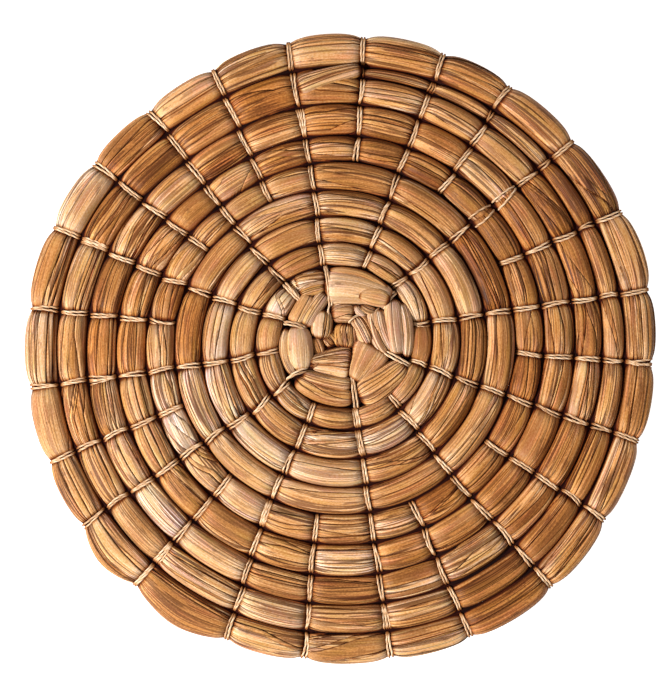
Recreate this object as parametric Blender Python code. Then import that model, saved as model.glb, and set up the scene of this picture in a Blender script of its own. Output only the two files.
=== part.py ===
"""A round placemat of coiled seagrass, 380 mm across and about 12 mm thick.

A thick bundle of dried leaf is wound clockwise from the rim to the middle. Twine stitches lie on 24 lines that
run from the rim towards the middle, and each stitch draws the bundle in, so the bundle swells into a pillow
between two stitches. A closed outer round, made in the same way, goes round the winding.

Two solids make the mat: the coil, from its thin tail under the outer round to its end in the middle, and the
rim, which is the outer round. The twine itself is thinner than the low relief of these solids.

The mat lies flat on z = 0 with its middle on the Z axis. Sizes are in millimetres and angles in degrees,
counterclockwise from +X. Turns are counted clockwise from +Y, and radii are taken from the winding's eye.
"""

import math
import random
from collections import namedtuple

import bmesh
import bpy

MM = 0.001
FULL_TURN = 360.0
START_ANGLE = 90.0

# The mat as a whole
MAT_RADIUS = 190.0
CROWN_HEIGHT = 11.8
CROWN_SPREAD = 0.9
GAP = 0.3
HEIGHT_SEED = 11

# The eye of the winding lies a little above the middle of the mat.
EYE_X = -1.2
EYE_Y = 10.2

# The groove between the rim and the coil is close to a circle about this point.
RIM_GROOVE_X = 0.6
RIM_GROOVE_Y = -0.6
RIM_GROOVE_RADIUS = 170.8

# A stitch draws the bundle in at its sides and its top, and lifts it off the table. The bundle lies flat again
# once it has swelled this far.
SIDE_PINCH = 1.6
RIM_OUTER_PINCH = 2.2
LARGEST_PINCH_SHARE = 0.12
STITCH_HEIGHT_SHARE = 0.68
STITCH_LIFT = 1.2
FLAT_FROM_SWELL = 0.6
SWELL_POWER = 0.38

# The coil's tail tapers out between the rim and the next turn. A slim bundle is lower too.
TAIL_TIP = -0.030
TAIL_START = -0.015
TAIL_FULL = 0.020
FULL_BUNDLE_WIDTH = 14.0

# The coil ends in the middle of the mat.
COIL_END = 10.68

# The groove on the inner side of the coil after so many turns: its radius, less the drop times the sine of its
# angle, because each turn sits a little lower than the one inside it. Towards the middle it narrows in steps.
Round = namedtuple("Round", "turn radius drop")
ROUNDS = (
    Round(0, 163.1, 9.8),
    Round(1, 146.9, 9.8),
    Round(2, 128.3, 9.9),
    Round(3, 110.6, 8.4),
    Round(4, 93.4, 8.4),
    Round(5, 77.5, 8.4),
    Round(6, 60.7, 7.5),
    Round(7, 45.1, 6.0),
    Round(7.25, 44.3, 6.0),
    Round(7.5, 40.5, 5.5),
    Round(7.62, 37.6, 5.5),
    Round(7.78, 32.3, 3.0),
    Round(8, 30.0, 2.4),
    Round(9, 15.6, 0.0),
    Round(10, 1.2, 0.0),
    Round(11, 0.8, 0.0),
)

# The outer turns aren't quite round. They are pressed in at the upper left and swell out at the lower right. Two
# pillows of the rim bulge out at the lower left, and a few a little at the right. Each place has its angle, its
# reach to both sides, its size, and the radii between which it grows to that size.
Press = namedtuple("Press", "angle reach size inner outer")
PRESSES = (
    Press(127.5, 25.0, -4.6, 80.0, 118.0),
    Press(-52.5, 22.0, 4.3, 145.0, 180.0),
    Press(-119.2, 6.5, 4.6, 182.0, 192.0),
    Press(-135.6, 5.0, 4.2, 182.0, 192.0),
    Press(13.5, 9.0, 1.8, 175.0, 185.0),
)

# The stitch lines, clockwise from the top: the angle at the rim, half way in, and where the line ends.
# A short line has no inner angle. It stops half way in.
StitchLine = namedtuple("StitchLine", "rim middle inner")
STITCH_LINES = (
    StitchLine(84.9, 83.8, None),
    StitchLine(68.9, 69.0, 67.5),
    StitchLine(54.9, 53.4, None),
    StitchLine(38.9, 38.7, 38.5),
    StitchLine(22.9, 22.2, None),
    StitchLine(7.5, 6.9, 5.0),
    StitchLine(-6.0, -7.0, None),
    StitchLine(-20.2, -20.9, -22.1),
    StitchLine(-35.4, -36.6, None),
    StitchLine(-50.2, -51.7, -51.2),
    StitchLine(-66.5, -66.5, None),
    StitchLine(-80.7, -80.1, -77.7),
    StitchLine(-96.0, -96.5, None),
    StitchLine(-110.0, -111.9, -107.5),
    StitchLine(-128.5, -126.5, None),
    StitchLine(-142.6, -140.4, -134.0),
    StitchLine(-155.5, -154.4, None),
    StitchLine(-169.4, -167.2, -162.7),
    StitchLine(-184.2, -183.0, None),
    StitchLine(-200.0, -196.5, -191.9),
    StitchLine(-214.4, -211.7, None),
    StitchLine(-229.4, -225.9, -220.6),
    StitchLine(-244.4, -242.6, None),
    StitchLine(-260.0, -260.7, -255.6),
)
SHORT_LINE_TURNS = 4
LONG_LINE_TURNS = 8
MIDDLE_TURN = 3.5

# The few stitches of the last turns, as angles where the coil has come round that many times
CoreTurn = namedtuple("CoreTurn", "turn angles")
CORE_TURNS = (
    CoreTurn(8, (31.0, -24.0, -75.0, -132.0, -190.0, -250.0)),
    CoreTurn(9, (38.0, -18.0, -80.0, -150.0, -215.0)),
    CoreTurn(10, (50.0, -40.0)),
)

# Where sections stand along a pillow, as shares of its length. Long pillows bend more and take more sections.
SHORT_PILLOW_SHARES = (0.15, 0.5, 0.85)
LONG_PILLOW_SHARES = (0.11, 0.30, 0.5, 0.70, 0.89)
LONG_PILLOW_ANGLE = 40.0

# One section of the bundle: across from inner edge -1 to outer edge 1, and up from bottom 0 to crown 1
SectionPoint = namedtuple("SectionPoint", "across up")
SECTION = (
    SectionPoint(-0.50, 0.00),
    SectionPoint(0.50, 0.00),
    SectionPoint(1.00, 0.34),
    SectionPoint(0.88, 0.74),
    SectionPoint(0.38, 1.00),
    SectionPoint(-0.38, 1.00),
    SectionPoint(-0.88, 0.74),
    SectionPoint(-1.00, 0.34),
)

# Colour, roughness and metallic value of each bundle
Finish = namedtuple("Finish", "colour roughness metallic")
FINISHES = {
    "coil": Finish((0.52, 0.30, 0.12, 1.0), 0.62, 0.0),
    "rim": Finish((0.58, 0.35, 0.15, 1.0), 0.62, 0.0),
}

# A place along a bundle: its angle, how far it has swelled from the last stitch, and its crown height
Place = namedtuple("Place", "angle turn swell crown")


def smooth(share):
    share = min(1.0, max(0.0, share))
    return share * share * (3.0 - 2.0 * share)


def mixed(first, second, share):
    return first + (second - first) * share


def angle_at(turn):
    return START_ANGLE - FULL_TURN * turn


def circle_radius(angle, centre_x, centre_y, radius):
    """Distance from the eye to a circle, along the ray at this angle."""
    off_x = centre_x - EYE_X
    off_y = centre_y - EYE_Y
    along = off_x * math.cos(math.radians(angle)) + off_y * math.sin(math.radians(angle))
    return along + math.sqrt(radius**2 - off_x**2 - off_y**2 + along**2)


def pressed(angle, radius):
    """A radius on the mat as it lies, from the same radius on a round mat."""
    shift = 0.0
    for press in PRESSES:
        off = (angle - press.angle + FULL_TURN / 2) % FULL_TURN - FULL_TURN / 2
        grown = smooth((radius - press.inner) / (press.outer - press.inner))
        shift += press.size * grown * math.exp(-((off / press.reach) ** 2))
    return radius + shift


def rim_groove(angle):
    return pressed(angle, circle_radius(angle, RIM_GROOVE_X, RIM_GROOVE_Y, RIM_GROOVE_RADIUS))


def mat_edge(angle):
    return pressed(angle, circle_radius(angle, 0.0, 0.0, MAT_RADIUS))


def groove(turn):
    """Radius of the groove on the coil's inner side. It starts from the rim's groove where the tail begins."""
    index = max(0, min(sum(row.turn <= turn for row in ROUNDS) - 1, len(ROUNDS) - 2))
    before, after = ROUNDS[index], ROUNDS[index + 1]
    share = (turn - before.turn) / (after.turn - before.turn)
    radius = mixed(before.radius, after.radius, share)
    drop = mixed(before.drop, after.drop, share)
    wound = pressed(angle_at(turn), radius - drop * math.sin(math.radians(angle_at(turn))))
    if turn >= TAIL_FULL:
        return wound
    begun = smooth((turn - TAIL_TIP) / (TAIL_FULL - TAIL_TIP))
    return mixed(rim_groove(angle_at(turn)), wound, begun)


def line_angle(line, turn):
    """Angle of a stitch line where it crosses the coil after this many turns."""
    share = (turn + 0.5) / (MIDDLE_TURN + 0.5)
    if share <= 1.0 or line.inner is None:
        return mixed(line.rim, line.middle, min(1.0, share))
    return mixed(line.middle, line.inner, share - 1.0)


def turn_of(angle, whole_turns):
    return whole_turns + (START_ANGLE - angle) / FULL_TURN


def coil_stitches():
    """The coil's stitches from tail to middle, in turns."""
    stitches = []
    for whole in range(LONG_LINE_TURNS):
        for line in STITCH_LINES:
            if line.inner is None and whole >= SHORT_LINE_TURNS:
                continue
            stitches.append(turn_of(line_angle(line, whole), whole))
    for core in CORE_TURNS:
        stitches.extend(turn_of(angle, core.turn) for angle in core.angles)
    return stitches


def pillow_places(start, end, crown):
    """Places from one stitch up to the next, both given in turns."""
    is_long = (end - start) * FULL_TURN > LONG_PILLOW_ANGLE
    places = [Place(angle_at(start), start, 0.0, crown)]
    for share in LONG_PILLOW_SHARES if is_long else SHORT_PILLOW_SHARES:
        turn = mixed(start, end, share)
        swell = math.sin(math.pi * share) ** SWELL_POWER
        places.append(Place(angle_at(turn), turn, swell, crown))
    return places


def crown_heights(count):
    """A crown height for each pillow, because no two of them are filled alike."""
    draw = random.Random(HEIGHT_SEED)
    return [CROWN_HEIGHT - CROWN_SPREAD * draw.random() for _ in range(count)]


def section(angle, inner, outer, bottom, top):
    """Corners of one upright section that stands along a ray from the eye."""
    ray_x = math.cos(math.radians(angle))
    ray_y = math.sin(math.radians(angle))
    middle = (inner + outer) / 2
    half_width = (outer - inner) / 2
    corners = []
    for point in SECTION:
        radius = middle + half_width * point.across
        height = mixed(bottom, top, point.up)
        corners.append(((EYE_X + radius * ray_x) * MM, (EYE_Y + radius * ray_y) * MM, height * MM))
    return corners


def bundle_section(place, inner, outer, inner_pinch, outer_pinch):
    """The section at a place: narrow, low and lifted at a stitch, full half way between two stitches."""
    width = outer - inner
    most = width * LARGEST_PINCH_SHARE
    slack = 1.0 - place.swell
    inner += min(inner_pinch, most) * slack
    outer -= min(outer_pinch, most) * slack
    fullness = min(1.0, math.sqrt(width / FULL_BUNDLE_WIDTH))
    top = place.crown * fullness * mixed(STITCH_HEIGHT_SHARE, 1.0, place.swell)
    bottom = STITCH_LIFT * max(0.0, 1.0 - place.swell / FLAT_FROM_SWELL)
    return section(place.angle, inner, outer, bottom, top)


def coil_sections():
    stitches = [TAIL_START] + coil_stitches() + [COIL_END]
    crowns = crown_heights(len(stitches))
    places = []
    for start, end, crown in zip(stitches, stitches[1:], crowns):
        places.extend(pillow_places(start, end, crown))
    places.append(Place(angle_at(COIL_END), COIL_END, 0.0, crowns[-1]))
    sections = []
    for place in places:
        under_rim = place.turn < 1.0 + TAIL_TIP
        outer = rim_groove(place.angle) if under_rim else groove(place.turn - 1.0)
        inner = groove(place.turn)
        sections.append(bundle_section(place, inner + GAP / 2, outer - GAP / 2, SIDE_PINCH, SIDE_PINCH))
    return sections


def rim_sections():
    stitches = [turn_of(line.rim, 0) for line in STITCH_LINES]
    stitches.append(stitches[0] + 1.0)
    crowns = crown_heights(len(stitches))
    sections = []
    for start, end, crown in zip(stitches, stitches[1:], crowns):
        for place in pillow_places(start, end, crown):
            inner = rim_groove(place.angle) + GAP / 2
            outer = mat_edge(place.angle)
            sections.append(bundle_section(place, inner, outer, SIDE_PINCH, RIM_OUTER_PINCH))
    return sections


def lofted_mesh(name, sections, is_ring):
    """Skin the sections in order. Both ends get a cap, unless the sections close into a ring."""
    shape = bmesh.new()
    rings = [[shape.verts.new(corner) for corner in corners] for corners in sections]
    pairs = list(zip(rings, rings[1:]))
    if is_ring:
        pairs.append((rings[-1], rings[0]))
    else:
        shape.faces.new(rings[0])
        shape.faces.new(reversed(rings[-1]))
    sides = len(SECTION)
    for ring, following in pairs:
        for side in range(sides):
            after = (side + 1) % sides
            shape.faces.new((ring[side], following[side], following[after], ring[after]))
    bmesh.ops.triangulate(shape, faces=shape.faces)
    bmesh.ops.recalc_face_normals(shape, faces=shape.faces)
    mesh = bpy.data.meshes.new(name)
    shape.to_mesh(mesh)
    shape.free()
    return mesh


def leaf_material(name, finish):
    material = bpy.data.materials.new(name + "_leaf")
    material.use_nodes = True
    shader = material.node_tree.nodes["Principled BSDF"]
    shader.inputs["Base Color"].default_value = finish.colour
    shader.inputs["Roughness"].default_value = finish.roughness
    shader.inputs["Metallic"].default_value = finish.metallic
    return material


def add_bundle(collection, name, sections, is_ring):
    mesh = lofted_mesh(name, sections, is_ring)
    mesh.materials.append(leaf_material(name, FINISHES[name]))
    collection.objects.link(bpy.data.objects.new(name, mesh))


def main():
    for old in list(bpy.data.objects):
        bpy.data.objects.remove(old, do_unlink=True)
    collection = bpy.data.collections.new("seagrass_placemat")
    bpy.context.scene.collection.children.link(collection)
    add_bundle(collection, "coil", coil_sections(), is_ring=False)
    add_bundle(collection, "rim", rim_sections(), is_ring=True)


main()
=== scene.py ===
"""Looks of a round placemat of coiled seagrass: leaf pillows, twine stitches, floor, light and camera.

The bundle runs between the same grooves and stitches as the solids. Lengths are in millimetres until a
mesh is made. Angles are in degrees counterclockwise from +X, turns count clockwise from +Y, and radii
start at the eye.
"""

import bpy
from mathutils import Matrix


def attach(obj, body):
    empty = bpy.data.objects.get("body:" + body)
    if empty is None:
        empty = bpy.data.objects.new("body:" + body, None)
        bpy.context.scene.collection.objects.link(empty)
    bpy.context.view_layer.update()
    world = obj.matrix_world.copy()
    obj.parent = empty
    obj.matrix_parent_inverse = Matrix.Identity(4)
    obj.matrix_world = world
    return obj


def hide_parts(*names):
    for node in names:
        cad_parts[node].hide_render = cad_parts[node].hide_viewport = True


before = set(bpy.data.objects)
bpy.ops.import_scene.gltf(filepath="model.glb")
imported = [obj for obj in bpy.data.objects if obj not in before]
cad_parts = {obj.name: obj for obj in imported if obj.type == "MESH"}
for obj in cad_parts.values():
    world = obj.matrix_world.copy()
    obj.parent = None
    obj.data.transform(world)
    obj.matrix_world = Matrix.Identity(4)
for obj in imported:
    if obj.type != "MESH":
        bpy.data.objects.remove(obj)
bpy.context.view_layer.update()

import math
from collections import namedtuple

import bpy
import numpy as np

MM = 0.001
FULL_TURN = 360.0
START_ANGLE = 90.0

# The mat, as in the solids
MAT_RADIUS = 190.0
CROWN_HEIGHT = 11.8
CROWN_SPREAD = 1.3
GAP = 0.3
EYE = np.array([-1.2, 10.2])
RIM_GROOVE_CENTRE = np.array([0.6, -0.6])
RIM_GROOVE_RADIUS = 170.8
TAIL_TIP = -0.030
TAIL_START = -0.015
TAIL_FULL = 0.020
COIL_END = 10.68
FULL_BUNDLE_WIDTH = 14.0

# The groove on the coil's inner side at the top of each turn
Round = namedtuple("Round", "turn radius drop")
ROUNDS = (
    Round(0, 163.1, 9.8),
    Round(1, 146.9, 9.8),
    Round(2, 128.3, 9.9),
    Round(3, 110.6, 8.4),
    Round(4, 93.4, 8.4),
    Round(5, 77.5, 8.4),
    Round(6, 60.7, 7.5),
    Round(7, 45.1, 6.0),
    Round(7.25, 44.3, 6.0),
    Round(7.5, 40.5, 5.5),
    Round(7.62, 37.6, 5.5),
    Round(7.78, 32.3, 3.0),
    Round(8, 30.0, 2.4),
    Round(9, 15.6, 0.0),
    Round(10, 1.2, 0.0),
    Round(11, 0.8, 0.0),
)

# The outer turns are pressed in at the upper left and swell at the lower right, and rim pillows bulge.
Press = namedtuple("Press", "angle reach size inner outer")
PRESSES = (
    Press(127.5, 25.0, -4.6, 80.0, 118.0),
    Press(-52.5, 22.0, 4.3, 145.0, 180.0),
    Press(-119.2, 6.5, 4.6, 182.0, 192.0),
    Press(-135.6, 5.0, 4.2, 182.0, 192.0),
    Press(13.5, 9.0, 1.8, 175.0, 185.0),
)

# The stitch lines, clockwise from the top: the angle at the rim, half way in, and where the line ends
StitchLine = namedtuple("StitchLine", "rim middle inner")
STITCH_LINES = (
    StitchLine(84.9, 83.8, None),
    StitchLine(68.9, 69.0, 67.5),
    StitchLine(54.9, 53.4, None),
    StitchLine(38.9, 38.7, 38.5),
    StitchLine(22.9, 22.2, None),
    StitchLine(7.5, 6.9, 5.0),
    StitchLine(-6.0, -7.0, None),
    StitchLine(-20.2, -20.9, -22.1),
    StitchLine(-35.4, -36.6, None),
    StitchLine(-50.2, -51.7, -51.2),
    StitchLine(-66.5, -66.5, None),
    StitchLine(-80.7, -80.1, -77.7),
    StitchLine(-96.0, -96.5, None),
    StitchLine(-110.0, -111.9, -107.5),
    StitchLine(-128.5, -126.5, None),
    StitchLine(-142.6, -140.4, -134.0),
    StitchLine(-155.5, -154.4, None),
    StitchLine(-169.4, -167.2, -162.7),
    StitchLine(-184.2, -183.0, None),
    StitchLine(-200.0, -196.5, -191.9),
    StitchLine(-214.4, -211.7, None),
    StitchLine(-229.4, -225.9, -220.6),
    StitchLine(-244.4, -242.6, None),
    StitchLine(-260.0, -260.7, -255.6),
)
SHORT_LINE_TURNS = 4
LONG_LINE_TURNS = 8
MIDDLE_TURN = 3.5
CoreTurn = namedtuple("CoreTurn", "turn angles")
CORE_TURNS = (
    CoreTurn(8, (31.0, -24.0, -75.0, -132.0, -190.0, -250.0)),
    CoreTurn(9, (38.0, -18.0, -80.0, -150.0, -215.0)),
    CoreTurn(10, (50.0, -40.0)),
)

# The neck under a stitch: how far it draws the bundle in, and how far the neck reaches
SIDE_PINCH = 1.45
RIM_OUTER_PINCH = 2.8
LARGEST_PINCH_SHARE = 0.17
NECK_HEIGHT_SHARE = 0.56
NECK_LIFT = 1.7
NECK_HALF_LENGTH = 0.9
NECK_SHOULDER = 2.7
SIDE_SHOULDER = 5.0
SHOULDER_POWER = 1.15
FULL_SHOULDER_LENGTH = 22.0
END_OVERLAP = 0.5
MIDDLE_ARCH = 0.10

# A stitch draws the bundle in above these shares of its height. Lower down it reaches the next turn.
PINCH_LOW = 0.42
PINCH_HIGH = 0.72
SKIRT_REACH = 0.13
SKIRT_GAP = -0.50
RIM_SKIRT_GAP = -0.45

# Painted groove shade: dark below the first height and light above the second, and light again low on the
# underside
DARK_BELOW = 5.5
LIGHT_ABOVE = 7.8
UNDERSIDE_EDGE = 0.22
NECK_LIGHTENING = 0.75

# The leaf strips round a bundle: how many, how wide and how straight. A pair is the range of a random draw.
STRIP_WIDTH = 3.5
STRIP_COUNT_SHARE = (0.52, 1.05)
LEAST_STRIPS = 4
STRIP_EVENNESS = 1.1
STRIP_LEAST_WEIGHT = 0.20
BROAD_LEAF_CHANCE = 0.34
BROAD_LEAF_SHARE = 0.42
TWO_STRIPS = (0.24, 0.77, 1.24)
LEAF_SWAY = 0.05
LEAF_TWIST = 0.020
TIP_CHANCE = 0.15
TIP_REACH = (0.55, 1.3)
TIP_WIDTH = 0.07
STRAIGHTENING = 0.75
LEAN_SPREAD = 0.04

# Their relief, and the creases between them, which the material also darkens with painted shade
RELIEF_SINK = 0.25
NECK_RELIEF = 0.45
LEVEL_SPREAD = 0.17
TILT_SPREAD = 0.34
ARCH_SHARE = 0.07
LARGEST_ARCH = 0.24
CREASE_WIDTH = 0.32
CREASE_LARGEST_SHARE = 0.16
CREASE_EDGE = 1.0
CREASE_DEPTH = (0.6, 1.6)
LONG_CREASE_CHANCE = 0.60
SHORT_CREASE = (0.05, 0.45)
CREASE_REACH = 9.0
CREASE_FADE_POWER = 1.5
PUCKER_REACH = 4.5
PUCKER_WIDTH = 1.7
PUCKER_HEIGHT = 0.36
NECK_CREASE_DEPTH = 0.35
PARTING_CHANCE = 0.08
PARTING_PLACE = (0.15, 0.85)
PARTING_LENGTH = (0.05, 0.16)
PARTING_EDGE = 1.2
PARTING_DEPTH = 1.1

# Tone, warmth and calm of a pillow and of each of its leaves
PILLOW_TONE = 0.385
PILLOW_TONE_SPREAD = 0.11
PILLOW_TONE_LIMITS = (0.06, 0.70)
PILLOW_WARMTH = 0.22
PILLOW_WARMTH_SPREAD = 0.16
LEAF_TONE_SPREAD = 0.10
CALM_LEAF_CHANCE = 0.5
CALM_LEAF = (0.45, 0.9)
LIVELY_LEAF = (0.0, 0.3)
BROAD_LEAF_CALM = 0.85

# The mesh: columns round the bundle, rows along it, and the room of a pillow or a strip on the leaf's map
COLUMN_WIDTH = 0.75
UNDERSIDE_COLUMN_WIDTH = 1.6
MOST_COLUMNS = 24
VISIBLE_SIDE = (0.16, 0.84)
ROW_LENGTH = 2.9
END_ROWS = np.array([-END_OVERLAP, 0.7, 1.4, 2.1, 3.0, 4.2, 5.8, 8.0])
END_ROWS_ROOM = 2.3
MAP_ROOM = 4000.0
MAP_STRIP_ROOM = 37.0
RING_POWER = 0.86
RING_FLAT = 0.60
RING_STEPS = 240
NOMINAL_HALF_WIDTH = 8.4
NOMINAL_HALF_HEIGHT = 5.9

# The middle: lumps with rounded ends over a low bed of the same leaf, painted dark as shade under them
MIDDLE_START = 7.975
BED_HEIGHT_SHARE = 0.46
BED_PAINTED_SHADE = 0.93
LUMP_ROW = 1.3
LEAST_LUMP_ROWS = 12
LUMP_END_WIDTH = 0.12
LUMP_END_HEIGHT = 0.42
LUMP_END_LIFT = 0.96
LUMP_BOTTOM = 1.2
LUMP_FULL_WIDTH = 8.0
LUMP_LEAST_FULLNESS = 0.25
STRIPS_PER_SHOWN = 1.9
LUMP_TONE = 0.47
LUMP_TONE_SPREAD = 0.03
LUMP_WARMTH = 0.10
LUMP_WARMTH_SPREAD = 0.15

# Twine
STRAND_RADIUS = 0.76
STRAND_SIZE = (0.85, 1.05)
STRAND_SEAT = 0.62
STRAND_SPREAD = 0.80
STRAND_JITTER = 0.1
STRAND_WANDER = 0.10
STRAND_TONE = 0.6
STRAND_TONE_SPREAD = 0.2
STRAND_SIDES = 8
STRAND_MAP_ROOM = 900.0
STRAND_MAP_WIDTH = 5.0
PLY_LENGTH = 9.5
PLY_GROOVE = 0.24
TOP_START = 0.16
TOP_END = 0.84
TOP_STEPS = 36
UNDER_STEPS = 12
TWINE_SHOWS = 1.2
STITCH_SKEW = 0.06
STITCH_BOW = 0.55
STITCH_OPENING = 0.75
CROSSING_SKEW = 0.10
CROSSING_SHIFT = 0.7
CORE_STITCH_THICKNESS = 0.95
DOUBLE_STITCH_CHANCE = 0.06

# Stitches whose strands lie apart over the pillow: where, how far, how much more at one end, and how high
Parting = namedtuple("Parting", "turn spread opening lift")
PARTED_STITCHES = (
    Parting(2.142, 2.3, -0.46, 2.6),
    Parting(3.143, 3.2, -0.24, 3.2),
)
PARTED_WITHIN = 0.005
PARTED_REACH = 5.0
PARTED_SWELL = 0.48
# Beside a parted stitch the leaf counts as less near it, so it gets less painted neck shade and shoulder
# highlight.
PARTED_DIP_LOSS = 0.40

# The photograph is 671 x 684 pixels at this scale, and its middle lies off the middle of the mat.
PIXEL_MM = 0.6013
FRAME_WIDTH = 671
FRAME_HEIGHT = 684
VIEW_CENTRE = np.array([-2.7, 3.6])
LENS_MM = 85.0
SENSOR_MM = 36.0

# The floor and the lamps, in metres
FLOOR_HALF = 1.5
FLOOR_DROP = 0.0002
Lamp = namedtuple("Lamp", "name place size watts colour")
LAMPS = (
    Lamp("key", (-1.12, -0.53, 1.02), 0.26, 46.0, (1.0, 0.99, 0.98)),
    Lamp("fill", (0.70, 0.60, 1.30), 0.90, 4.0, (1.0, 1.0, 1.0)),
)
SKY_STRENGTH = 0.28

rng = np.random.default_rng(20)


def smooth(share):
    share = np.clip(share, 0.0, 1.0)
    return share * share * (3.0 - 2.0 * share)


def mixed(first, second, share):
    return first + (second - first) * share


def angle_at(turn):
    return START_ANGLE - FULL_TURN * turn


def rays(angles):
    angles = np.radians(angles)
    return np.stack([np.cos(angles), np.sin(angles)], axis=-1)


def circle_radius(angle, centre, radius):
    off = centre - EYE
    along = rays(angle) @ off
    return along + np.sqrt(radius**2 - off @ off + along**2)


def pressed(angle, radius):
    """A radius on the mat as it lies, from the same radius on a round mat."""
    shift = 0.0
    for press in PRESSES:
        off = (angle - press.angle + FULL_TURN / 2) % FULL_TURN - FULL_TURN / 2
        grown = smooth((radius - press.inner) / (press.outer - press.inner))
        shift = shift + press.size * grown * np.exp(-((off / press.reach) ** 2))
    return radius + shift


def rim_groove(angle):
    return pressed(angle, circle_radius(angle, RIM_GROOVE_CENTRE, RIM_GROOVE_RADIUS))


def mat_edge(angle):
    return pressed(angle, circle_radius(angle, np.zeros(2), MAT_RADIUS))


def groove(turn):
    turn = np.asarray(turn, float)
    turns = [r.turn for r in ROUNDS]
    before = np.minimum(turn, 0.0)
    radius = np.interp(turn, turns, [r.radius for r in ROUNDS])
    radius = radius - before * (ROUNDS[0].radius - ROUNDS[1].radius)
    drop = np.interp(turn, turns, [r.drop for r in ROUNDS])
    wound = pressed(angle_at(turn), radius - drop * np.sin(np.radians(angle_at(turn))))
    begun = smooth((turn - TAIL_TIP) / (TAIL_FULL - TAIL_TIP))
    return mixed(rim_groove(angle_at(turn)), wound, begun)


def line_angle(line, turn):
    share = (turn + 0.5) / (MIDDLE_TURN + 0.5)
    if share <= 1.0 or line.inner is None:
        return mixed(line.rim, line.middle, min(1.0, share))
    return mixed(line.middle, line.inner, share - 1.0)


def turn_of(angle, whole_turns):
    return whole_turns + (START_ANGLE - angle) / FULL_TURN


def coil_stitches():
    stitches = []
    for whole in range(LONG_LINE_TURNS):
        for line in STITCH_LINES:
            if line.inner is None and whole >= SHORT_LINE_TURNS:
                continue
            stitches.append(turn_of(line_angle(line, whole), whole))
    for core in CORE_TURNS:
        stitches.extend(turn_of(angle, core.turn) for angle in core.angles)
    return stitches


def coil_edges(turns):
    """Inner and outer radius of the coil at these turns."""
    angles = angle_at(turns)
    outer = np.where(turns < 1.0 + TAIL_START, rim_groove(angles), groove(turns - 1.0))
    return groove(turns) + GAP / 2, outer - GAP / 2


def rim_edges(turns):
    angles = angle_at(turns)
    return rim_groove(angles) + GAP / 2, mat_edge(angles)


def ring_outline():
    """The bundle's section at its nominal size, by share of the way round from the underside's middle."""
    around = np.linspace(-math.pi / 2, 1.5 * math.pi, RING_STEPS + 1)
    across = np.sign(np.cos(around)) * np.abs(np.cos(around)) ** RING_POWER
    up = np.sign(np.sin(around)) * np.abs(np.sin(around)) ** RING_POWER
    up = (np.maximum(up, -RING_FLAT) + RING_FLAT) / (1.0 + RING_FLAT)
    steps = np.hypot(np.diff(across) * NOMINAL_HALF_WIDTH, np.diff(up) * 2 * NOMINAL_HALF_HEIGHT)
    shares = np.concatenate([[0.0], np.cumsum(steps)])
    length = shares[-1]
    shares = shares / length
    run = np.gradient(across, shares) * NOMINAL_HALF_WIDTH
    rise = np.gradient(up, shares) * 2 * NOMINAL_HALF_HEIGHT
    size = np.hypot(run, rise)
    return shares, across, up, rise / size, -run / size, length


RING_SHARE, RING_ACROSS, RING_UP, RING_NORMAL_ACROSS, RING_NORMAL_UP, RING_LENGTH = ring_outline()
WIDEST_UP = RING_FLAT / (1.0 + RING_FLAT)


def on_ring(share):
    """Across, up and the outward normal at a share of the way round."""
    share = share % 1.0
    values = (RING_ACROSS, RING_UP, RING_NORMAL_ACROSS, RING_NORMAL_UP)
    return [np.interp(share, RING_SHARE, value) for value in values]


def end_distances(length):
    """Distances of the rows from the pillow's first stitch: close at both ends, wider in the middle."""
    ends = END_ROWS * min(1.0, length / (END_ROWS_ROOM * END_ROWS[-1]))
    gap = length - 2 * ends[-1]
    count = max(1, int(math.ceil(gap / ROW_LENGTH)))
    middle = np.linspace(ends[-1], length - ends[-1], count + 1)[1:-1]
    return np.concatenate([ends, middle, (length - ends)[::-1]])


def neck(distances, length, shoulder):
    """How far the bundle has swelled at each distance, 0 in the neck under a stitch and 1 on the pillow."""
    from_end = np.minimum(distances, length - distances)
    reach = shoulder * min(1.0, length / FULL_SHOULDER_LENGTH)
    free = np.maximum(0.0, from_end - NECK_HALF_LENGTH)
    share = np.clip(distances / length, 0.0, 1.0)
    arch = 1.0 - MIDDLE_ARCH + MIDDLE_ARCH * np.sin(math.pi * share)
    return (1.0 - np.exp(-((free / reach) ** SHOULDER_POWER))) * arch


def strip_shares(shares_along, count, bow):
    """The creases' places round the ring for each row. Some leaves end in a long tip."""
    rows = len(shares_along)
    if count == 2:
        return np.repeat(np.array([TWO_STRIPS]), rows, axis=0)
    weights = rng.gamma(STRIP_EVENNESS, 1.0, count) / STRIP_EVENNESS + STRIP_LEAST_WEIGHT
    widths = np.repeat(weights[None, :], rows, axis=0)
    phase = rng.uniform(0, 2 * math.pi, count)
    sway = rng.uniform(0.0, LEAF_SWAY, count)
    widths = widths * (1.0 + sway * np.sin(shares_along[:, None] * 3.0 + phase))
    for strip in range(count):
        if rng.random() < TIP_CHANCE:
            tip = rng.uniform(*TIP_REACH)
            along = shares_along if rng.random() < 0.5 else 1.0 - shares_along
            widths[:, strip] *= np.clip((tip - along) / tip, TIP_WIDTH, 1.0)
    ends = np.cumsum(widths, axis=1)
    shares = np.concatenate([np.zeros((rows, 1)), ends / ends[:, -1:]], axis=1)
    twist = rng.normal(0.0, LEAF_TWIST)
    offset = rng.uniform(0, 1.0 / count) + twist * (shares_along - 0.5)
    straight = bow * (4 * shares_along * (1 - shares_along) - 2 / 3)
    return shares + (offset + straight)[:, None]


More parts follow.
